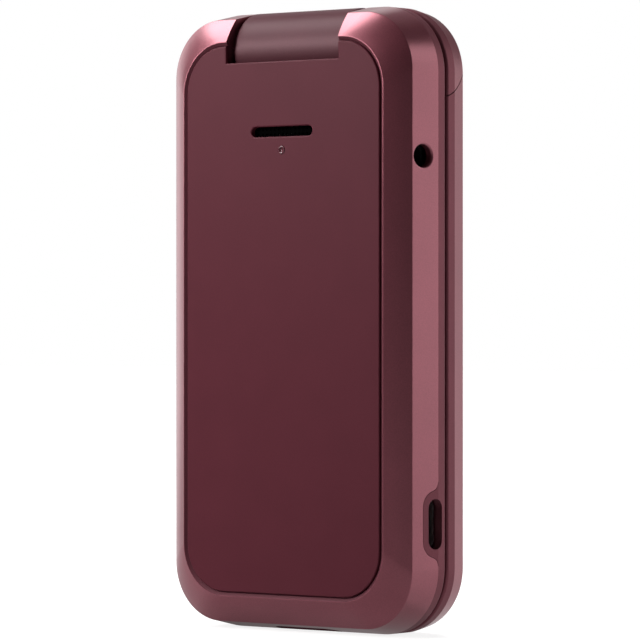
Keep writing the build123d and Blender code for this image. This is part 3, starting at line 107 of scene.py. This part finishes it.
# Name, place, size, power and whether a gloss shows it
LAMPS = [
    ("left_box", (-0.77, 0.22, 0.15), (0.4, 0.9), 1.2, True),
    ("right_box", (0.56, 0.52, 0.15), (0.5, 0.9), 2.4, True),
    ("front_box", (-0.05, 0.95, 0.12), (0.5, 0.3), 1.0, True),
    ("over_box", (-0.21, -0.07, 0.36), (0.2, 0.2), 0.84, True),
    ("top_box", (-0.43, 0.45, 0.45), (0.3, 0.3), 0.18, True),
    ("rim_box", (-0.10, 0.45, 0.62), (0.3, 0.3), 5.0, False),
    ("panel_box", (-0.20, -0.24, 0.20), (0.12, 0.12), 0.9, True),
]


# ---------------------------------------------------------------- finishes

NOISE_SPAN = (0.3, 0.7)  # where most of a noise's values lie
BROAD_SCALE = 120
HAZE_SCALE = 90
ROUGHNESS_SPREAD = 0.05
GRAIN_STRENGTH = 0.2
GRAIN_DEPTH = 0.01 * MM


def remap(nodes, links, value, given, wanted):
    """The value, taken from the given range to the wanted one and held inside it."""
    node = nodes.new("ShaderNodeMapRange")
    node.inputs["From Min"].default_value, node.inputs["From Max"].default_value = given
    node.inputs["To Min"].default_value, node.inputs["To Max"].default_value = wanted
    links.new(value, node.inputs["Value"])
    return node.outputs["Result"]


class Finish:
    """A principled material with short ways to add grain, mottle and relief."""

    def __init__(self, name, colour, metallic=0.0, roughness=0.5):
        self.material = bpy.data.materials.new(name)
        self.material.use_nodes = True
        self.nodes = self.material.node_tree.nodes
        self.links = self.material.node_tree.links
        self.shader = self.nodes["Principled BSDF"]
        self.shader.inputs["Base Color"].default_value = (*colour, 1)
        self.shader.inputs["Metallic"].default_value = metallic
        self.shader.inputs["Roughness"].default_value = roughness
        self.place = self.nodes.new("ShaderNodeTexCoord").outputs["Object"]

    def set(self, **values):
        """Sets the shader's own sockets, with _ for each space in a socket's name."""
        for name, value in values.items():
            self.shader.inputs[name.replace("_", " ")].default_value = value
        return self

    def noise(self, scale, detail=2.0, stretch=None):
        """Noise that follows the piece, finer at larger scales."""
        source = self.place
        if stretch:
            mapping = self.nodes.new("ShaderNodeMapping")
            mapping.inputs["Scale"].default_value = stretch
            self.links.new(self.place, mapping.inputs["Vector"])
            source = mapping.outputs["Vector"]
        texture = self.nodes.new("ShaderNodeTexNoise")
        texture.inputs["Scale"].default_value = scale
        texture.inputs["Detail"].default_value = detail
        self.links.new(source, texture.inputs["Vector"])
        return texture.outputs["Fac"]

    def ramp(self, value, a, b):
        """Colour that runs from a to b over the span of a noise."""
        node = self.nodes.new("ShaderNodeValToRGB")
        for element, position, colour in zip(node.color_ramp.elements, NOISE_SPAN, (a, b)):
            element.position = position
            element.color = (*colour, 1)
        self.links.new(value, node.inputs["Fac"])
        return node.outputs["Color"]

    def multiply(self, a, b):
        """Two colours multiplied."""
        node = self.nodes.new("ShaderNodeMix")
        node.data_type = "RGBA"
        node.blend_type = "MULTIPLY"
        node.inputs["Factor"].default_value = 1.0
        self.links.new(a, node.inputs[6])
        self.links.new(b, node.inputs[7])
        return node.outputs[2]

    def paint(self, colour):
        """Links a colour that varies over the surface."""
        self.links.new(colour, self.shader.inputs["Base Color"])
        return self

    def matt(self, value, low, high):
        """Lets the roughness follow a value, between two limits."""
        roughness = remap(self.nodes, self.links, value, (0, 1), (low, high))
        self.links.new(roughness, self.shader.inputs["Roughness"])
        return self

    def relief(self, height, strength, distance):
        """Bumps the surface by a height."""
        node = self.nodes.new("ShaderNodeBump")
        node.inputs["Strength"].default_value = strength
        node.inputs["Distance"].default_value = distance
        self.links.new(height, node.inputs["Height"])
        self.links.new(node.outputs["Normal"], self.shader.inputs["Normal"])
        return self


def shade(colour, factor):
    """A colour made lighter or darker."""
    return tuple(c * factor for c in colour)


def moulded(name, colour, metallic, roughness, flake=0.12, grain=5000, mottle=0.06, stretch=None):
    """Painted or moulded surface: fine flake, slight mottle and a skin of fine grain."""
    finish = Finish(name, colour, metallic, roughness)
    fine = finish.noise(grain, 3.0, stretch)
    broad = finish.noise(BROAD_SCALE)
    speckle = finish.ramp(fine, shade(colour, 1 - flake), shade(colour, 1 + flake))
    cloud = finish.ramp(broad, (1 - mottle,) * 3, (1, 1, 1))
    finish.paint(finish.multiply(speckle, cloud))
    finish.matt(fine, roughness - ROUGHNESS_SPREAD, roughness + ROUGHNESS_SPREAD)
    return finish.relief(fine, GRAIN_STRENGTH, GRAIN_DEPTH)


def polished(name, colour, roughness):
    """Glass or gloss plastic with a faint haze of handling."""
    finish = Finish(name, colour, 0.0, roughness)
    haze = finish.noise(HAZE_SCALE, 4.0)
    finish.paint(finish.ramp(haze, shade(colour, 0.85), shade(colour, 1.15)))
    return finish.matt(haze, roughness * 0.6, roughness * 1.6)


SHELL = (0.34, 0.078, 0.110)
# The lip's colour below is the shell's colour darkened: painted shade in the groove round the
# back panel.
LIP_PAINTED_SHADE = (0.14, 0.036, 0.050)
PANEL = (0.125, 0.024, 0.037)
BAND = (0.22, 0.065, 0.085)
# The barrel's colour below is darker than the band's: painted shade that keeps the barrel as dark
# as the band it is moulded with.
HINGE_PAINTED_SHADE = (0.085, 0.020, 0.029)
KEYS = (0.075, 0.026, 0.034)

finishes = {
    "satin_shell": moulded("satin_shell", SHELL, 0.65, 0.32).set(
        Coat_Weight=0.8, Coat_Roughness=0.3
    ),
    # Duller finish for the cover's lip, its colour painted darker as shade.
    "lip_painted_shade": moulded("lip_painted_shade", LIP_PAINTED_SHADE, 0.1, 0.6, flake=0.08).set(Specular_IOR_Level=0.15),
    "back_panel": moulded("back_panel", PANEL, 0.0, 0.45, flake=0.06, grain=8000).set(
        Specular_IOR_Level=0.1
    ),
    "frame_plastic": moulded("frame_plastic", BAND, 0.6, 0.5, flake=0.08).set(
        Specular_IOR_Level=0.2
    ),
    # Matt finish for the barrel, its colour painted darker as shade.
    "hinge_painted_shade": moulded("hinge_painted_shade", HINGE_PAINTED_SHADE, 0.15, 0.45, flake=0.08).set(
        Specular_IOR_Level=0.2
    ),
    "ring_plastic": moulded("ring_plastic", PANEL, 0.0, 0.3, flake=0.06, grain=8000),
    "dark_mesh": moulded("dark_mesh", (0.001, 0.001, 0.001), 0.0, 0.9).set(
        Specular_IOR_Level=0.02
    ),
    "tinted_glass": polished("tinted_glass", (0.010, 0.006, 0.008), 0.05),
    "clear_glass": polished("clear_glass", (0.012, 0.012, 0.014), 0.05),
    "display_black": polished("display_black", (0.008, 0.008, 0.01), 0.2),
    "steel": moulded("steel", (0.55, 0.55, 0.56), 1.0, 0.32, flake=0.05, stretch=(1, 1, 0.1)),
    "contact_gold": moulded("contact_gold", (0.83, 0.60, 0.22), 1.0, 0.28, flake=0.04),
    "inner_plastic": moulded("inner_plastic", (0.014, 0.014, 0.015), 0.0, 0.55),
    "silicone": moulded("silicone", (0.20, 0.20, 0.21), 0.0, 0.7),
    "board_green": moulded("board_green", (0.012, 0.09, 0.035), 0.0, 0.35),
    "battery_wrap": moulded("battery_wrap", (0.05, 0.05, 0.055), 0.0, 0.4),
    "flex_film": moulded("flex_film", (0.30, 0.12, 0.03), 0.0, 0.35),
    "lens_black": moulded("lens_black", (0.008, 0.008, 0.01), 0.0, 0.25),
    "coated_lens": polished("coated_lens", (0.012, 0.008, 0.03), 0.03),
    "flash_lens": polished("flash_lens", (0.75, 0.70, 0.42), 0.2),
    "side_key_plastic": moulded("side_key_plastic", SHELL, 0.3, 0.36),
    "key_plastic": moulded("key_plastic", KEYS, 0.0, 0.42, flake=0.05, grain=8000),
    "key_trim": moulded("key_trim", SHELL, 0.5, 0.3),
}
inks = {
    "digit_white": moulded("digit_white", (0.70, 0.68, 0.68), 0.0, 0.5, flake=0.03),
    "mark_green": moulded("mark_green", (0.03, 0.42, 0.10), 0.0, 0.5, flake=0.03),
    "mark_red": moulded("mark_red", (0.55, 0.02, 0.02), 0.0, 0.5, flake=0.03),
}

for part in frame["record"]["subparts"]:
    mesh = cad[part["node"]].data
    mesh.materials.clear()
    mesh.materials.append(finishes[part["material_slot"]].material)

panel_low, panel_high = (Vector(corner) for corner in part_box("rear_panel"))
panel_middle = (panel_low + panel_high) / 2
panel_half = (panel_high - panel_low) / 2


def repaint(node, finish, chosen):
    """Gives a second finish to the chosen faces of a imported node."""
    mesh = cad[node].data
    mesh.materials.append(finish.material)
    for face in mesh.polygons:
        if chosen(face):
            face.material_index = 1


def on_barrel(face):
    """Whether a face of the lid's frame is on the barrel between the ears, where its painted
    shade goes.
    """
    place = face.center
    return abs(place.x) < BARREL_HALF and place.z > BARREL_LOW and place.y < BARREL_FRONT


def on_lip(face):
    """Whether a face of the back cover lies close round the back panel and looks inwards, where
    the lip's painted shade goes.
    """
    inwards = panel_middle - face.center
    inwards.y = 0
    past = max(abs(inwards.x) - panel_half.x, abs(inwards.z) - panel_half.z)
    near = face.center.y < LIP_DEPTH and past < LIP_WIDTH
    return near and face.normal.dot(inwards.normalized()) > LIP_SLOPE


# The barrel gets a matt finish painted darker than the rest of the lid's frame, and the cover's
# lip a duller finish painted darker than the shell outside it: both darker colours are painted
# shade.
repaint("lid_frame", finishes["hinge_painted_shade"], on_barrel)
repaint("back_cover", finishes["lip_painted_shade"], on_lip)


# ---------------------------------------------------------------- fine pieces


def middle_of(node):
    """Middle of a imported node's box."""
    low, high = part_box(node)
    return (Vector(low) + Vector(high)) / 2


def place_in_mesh():
    """Puts the active piece's place, turn and size into its mesh."""
    bpy.ops.object.transform_apply(location=True, rotation=True, scale=True)


def settle(name, body, finish):
    """Names and paints the active piece and lets it ride on its body."""
    piece = bpy.context.object
    place_in_mesh()
    bpy.ops.object.shade_smooth_by_angle(angle=SMOOTH_ANGLE)
    piece.name = name
    piece.data.materials.clear()
    piece.data.materials.append(finish.material)
    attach(piece, body)
    bpy.ops.object.select_all(action="DESELECT")


def modifier(kind, **values):
    """Adds a modifier to the active piece and applies it."""
    bpy.ops.object.modifier_add(type=kind)
    added = bpy.context.object.modifiers[-1]
    for name, value in values.items():
        setattr(added, name, value)
    bpy.ops.object.modifier_apply(modifier=added.name)


def microphone_ring():
    """Small raised ring round the microphone's port, pressed into the back panel's dish."""
    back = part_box("rear_panel")[0][1]
    bpy.ops.mesh.primitive_torus_add(
        major_radius=RING_MAJOR, minor_radius=RING_MINOR, major_segments=48, minor_segments=16,
        location=(0, back + RING_SUNK, RING_Z), rotation=(math.pi / 2, 0, 0)
    )
    bpy.context.object.scale = (1, 1, RING_FLATTENING)
    place_in_mesh()
    bpy.ops.object.mode_set(mode="EDIT")
    bpy.ops.mesh.select_all(action="SELECT")
    bpy.ops.mesh.bisect(
        plane_co=(0, back + RING_CUT, 0), plane_no=(0, 1, 0), use_fill=True, clear_outer=True
    )
    bpy.ops.object.mode_set(mode="OBJECT")
    settle("microphone_ring", "cover", finishes["ring_plastic"])


def camera_lens():
    """Domed front lens at the foot of the camera's cone, raised in steps from a disc."""
    centre = middle_of("camera_module")
    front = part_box("camera_module")[1][1]
    bpy.ops.mesh.primitive_cylinder_add(
        vertices=48, radius=LENS_R, depth=LENS_DEPTH,
        location=(centre.x, front - LENS_SUNK, centre.z), rotation=(math.pi / 2, 0, 0)
    )
    place_in_mesh()
    for face in bpy.context.object.data.polygons:
        face.select = face.normal.y > 0.9
    bpy.ops.object.mode_set(mode="EDIT")
    bpy.ops.mesh.select_mode(type="FACE")
    for inset, rise in LENS_STEPS:
        bpy.ops.mesh.inset(thickness=inset * MM)
        bpy.ops.transform.translate(value=(0, rise * MM, 0))
    bpy.ops.object.mode_set(mode="OBJECT")
    settle("camera_lens", "lid", finishes["coated_lens"])


def socket_contacts():
    """Two rows of gold contacts on the charging socket's tongue."""
    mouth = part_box("usb_socket")[1][0]
    centre = middle_of("usb_socket")
    row = CONTACT_PITCH * (CONTACTS - 1)
    place = (mouth - CONTACT_SET_BACK, centre.y - TONGUE / 2, centre.z - row / 2)
    bpy.ops.mesh.primitive_cube_add(size=1, location=place, scale=CONTACT_SIZE)
    place_in_mesh()
    modifier("BEVEL", width=CONTACT_ROUND, segments=2)
    for count, step in ((CONTACTS, (0, 0, CONTACT_PITCH)), (2, (0, TONGUE, 0))):
        modifier("ARRAY", count=count, use_relative_offset=False, use_constant_offset=True,
                 constant_offset_displace=step)
    settle("socket_contacts", "base", finishes["contact_gold"])


def key_digit(node, sign):
    """One raised figure on a key's face."""
    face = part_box(node)[1][1]
    centre = middle_of(node)
    bpy.ops.object.text_add(
        location=(centre.x, face, centre.z), rotation=(math.pi / 2, 0, math.pi)
    )
    text = bpy.context.object.data
    text.body = sign
    text.align_x = "CENTER"
    text.align_y = "CENTER"
    text.size = DIGIT_SIZE
    text.extrude = DIGIT_PROUD
    text.resolution_u = 5
    bpy.ops.object.convert(target="MESH")
    settle(node + "_figure", node + "_body", inks["digit_white"])


def key_stroke(node, finish, half, rise, ends, middle, turn=0):
    """Raised stroke on a key's face, an arch with thick ends or a plain dash."""
    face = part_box(node)[1][1]
    centre = middle_of(node)
    bpy.ops.curve.primitive_bezier_curve_add(location=(centre.x, face, centre.z))
    stroke = bpy.context.object
    bpy.ops.object.mode_set(mode="EDIT")
    bpy.ops.curve.subdivide()
    bpy.ops.object.mode_set(mode="OBJECT")
    reach = half / 2
    low, high = -rise / 2, rise / 2
    # Place across, place up, slope of the handles and thickness of each point
    shape = [(-half, low, high, ends), (0, high, 0, middle), (half, low, low, ends)]
    for point, (x, y, lean, radius) in zip(stroke.data.splines[0].bezier_points, shape):
        point.co = (x, y, 0)
        point.handle_left = (x - reach, y - lean, 0)
        point.handle_right = (x + reach, y + lean, 0)
        point.radius = radius
    stroke.data.bevel_depth = STROKE_THICK
    stroke.data.bevel_resolution = 3
    stroke.data.use_fill_caps = True
    bpy.ops.object.convert(target="MESH")
    stroke = bpy.context.object
    stroke.scale = (1, 1, STROKE_FLATTENING)
    stroke.rotation_euler = (math.pi / 2, turn, math.pi)
    settle(node + "_mark", node + "_body", finish)


microphone_ring()
camera_lens()
socket_contacts()
for sign in "1234567890":
    key_digit("key_" + sign, sign)
key_digit("key_star", "*")
key_digit("key_hash", "#")
key_stroke("call_key", inks["mark_green"], **HANDSET, turn=LIFTED)
key_stroke("end_key", inks["mark_red"], **HANDSET)
for side in ("left", "right"):
    key_stroke("soft_key_" + side, inks["digit_white"], **DASH)


# ---------------------------------------------------------------- floor, light and camera


def combine(nodes, links, operation, a, b):
    """Two values put together by a maths operation."""
    node = nodes.new("ShaderNodeMath")
    node.operation = operation
    links.new(a, node.inputs[0])
    links.new(b, node.inputs[1])
    return node.outputs[0]


def far_share(nodes, links, vector, away, reach, share):
    """Share of the white that a gloss shows: little on the near side, more far along away."""
    side = nodes.new("ShaderNodeVectorMath")
    side.operation = "DOT_PRODUCT"
    side.inputs[1].default_value = away
    links.new(vector, side.inputs[0])
    return remap(nodes, links, side.outputs["Value"], reach, share)


def seen_directly(nodes, links, gloss):
    """1 where the camera looks straight on or through glass, the share in a gloss, else 0."""
    path = nodes.new("ShaderNodeLightPath").outputs
    first = combine(nodes, links, "MAXIMUM", path["Is Camera Ray"], path["Is Transmission Ray"])
    glossy = combine(nodes, links, "MULTIPLY", path["Is Glossy Ray"], gloss)
    return combine(nodes, links, "MAXIMUM", first, glossy)


def white_stage():
    """Pale floor that is seen as white away from the phone and keeps its soft shadow."""
    bpy.ops.mesh.primitive_plane_add(size=FLOOR_SIZE)
    floor = bpy.context.object
    floor.name = "floor"
    finish = Finish("floor_white", (FLOOR_GREY,) * 3, 0.0, 0.9)
    nodes, links = finish.nodes, finish.links
    distance = nodes.new("ShaderNodeVectorMath")
    distance.operation = "LENGTH"
    links.new(finish.place, distance.inputs[0])
    glow = remap(nodes, links, distance.outputs["Value"], FLOOR_GLOW_REACH, FLOOR_GLOW)
    gloss = far_share(nodes, links, finish.place, BESIDE, FLOOR_GLOSS_REACH, FLOOR_GLOSS)
    seen = combine(nodes, links, "MULTIPLY", seen_directly(nodes, links, gloss), glow)
    finish.shader.inputs["Emission Color"].default_value = (1, 1, 1, 1)
    links.new(seen, finish.shader.inputs["Emission Strength"])
    floor.data.materials.append(finish.material)


def room_light():
    """Dim even room, white where it is seen as the background behind the phone."""
    world = bpy.data.worlds.new("studio")
    bpy.context.scene.world = world
    world.use_nodes = True
    nodes, links = world.node_tree.nodes, world.node_tree.links
    direction = nodes.new("ShaderNodeTexCoord").outputs["Generated"]
    gloss = far_share(nodes, links, direction, BEHIND, ROOM_GLOSS_REACH, ROOM_GLOSS)
    seen = seen_directly(nodes, links, gloss)
    strength = remap(nodes, links, seen, (0, 1), (ROOM_LEVEL, 1.0))
    links.new(strength, nodes["Background"].inputs["Strength"])
    nodes["Background"].inputs["Color"].default_value = (1, 1, 1, 1)


def softbox(name, place, size, power, glossy):
    """Rectangular lamp aimed at the phone's middle."""
    lamp = bpy.data.lights.new(name, "AREA")
    lamp.shape = "RECTANGLE"
    lamp.size, lamp.size_y = size
    lamp.energy = power
    holder = bpy.data.objects.new(name, lamp)
    bpy.context.scene.collection.objects.link(holder)
    holder.location = place
    aim = Vector(MIDDLE) - Vector(place)
    holder.rotation_euler = aim.to_track_quat("-Z", "Y").to_euler()
    holder.visible_camera = False
    holder.visible_glossy = glossy


def camera():
    """Level camera behind and to the right of the phone."""
    data = bpy.data.cameras.new("camera")
    data.lens = CAMERA_LENS
    data.sensor_width = CAMERA_SENSOR
    data.clip_start = CAMERA_CLIP
    holder = bpy.data.objects.new("camera", data)
    bpy.context.scene.collection.objects.link(holder)
    holder.location = CAMERA_PLACE
    holder.rotation_euler = (math.radians(90), 0, math.radians(CAMERA_TURN))
    bpy.context.scene.camera = holder


white_stage()
room_light()
for lamp in LAMPS:
    softbox(*lamp)
camera()

bpy.context.scene.view_settings.view_transform = "Standard"
